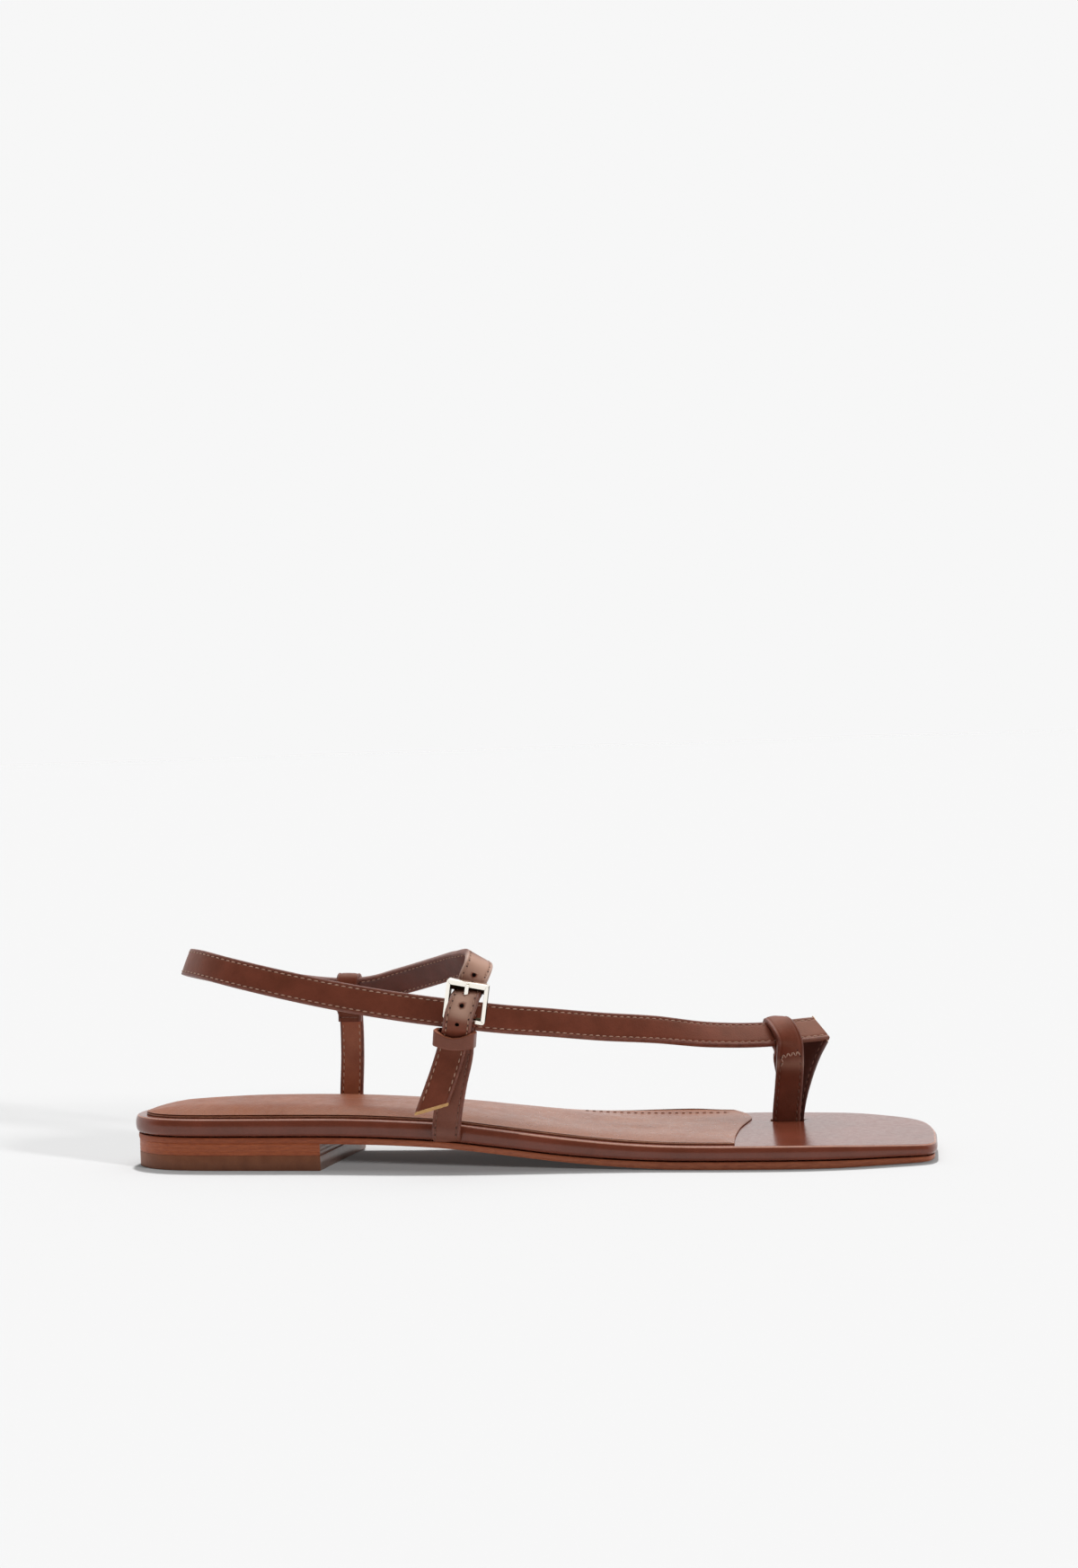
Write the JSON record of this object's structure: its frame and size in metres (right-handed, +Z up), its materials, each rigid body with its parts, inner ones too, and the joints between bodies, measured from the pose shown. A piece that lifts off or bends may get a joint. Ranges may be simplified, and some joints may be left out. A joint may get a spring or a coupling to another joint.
{
  "type": "flat sandal",
  "caption": "Flat leather thong sandal, right shoe: a narrow strap runs from a toe post round the heel and over the instep to a side buckle, on a padded footbed with a low stacked heel.",
  "frame": {"origin": "on the floor, under the middle of the shoe's box", "axes": "+X towards the toe, +Y towards the inner side of the foot, -Y towards the outer (buckle) side, +Z up"},
  "size_m": [0.2538, 0.0799, 0.0683],
  "materials": {
    "outsole_leather": "smooth tan sole leather with a burnished edge",
    "heel_stack_leather": "stacked leather lifts, polished sides",
    "top_lift_rubber": "satin brown rubber",
    "footbed_leather": "smooth brown leather wrapped round the board",
    "insole_leather": "soft brown lining leather",
    "strap_leather": "smooth semi-gloss brown calf",
    "keeper_leather": "smooth semi-gloss brown calf",
    "buckle_gilt": "polished pale gold plating",
    "prong_gilt": "polished pale gold plating"
  },
  "bodies": {
    "root": {"outsole": "outsole_leather", "heel_stack": "heel_stack_leather", "heel_top_lift": "top_lift_rubber", "footbed": "footbed_leather", "insole": "insole_leather", "upper": "strap_leather", "keeper": "keeper_leather", "buckle_frame": "buckle_gilt", "buckle_prong": "prong_gilt"}
  },
  "joints": []
}
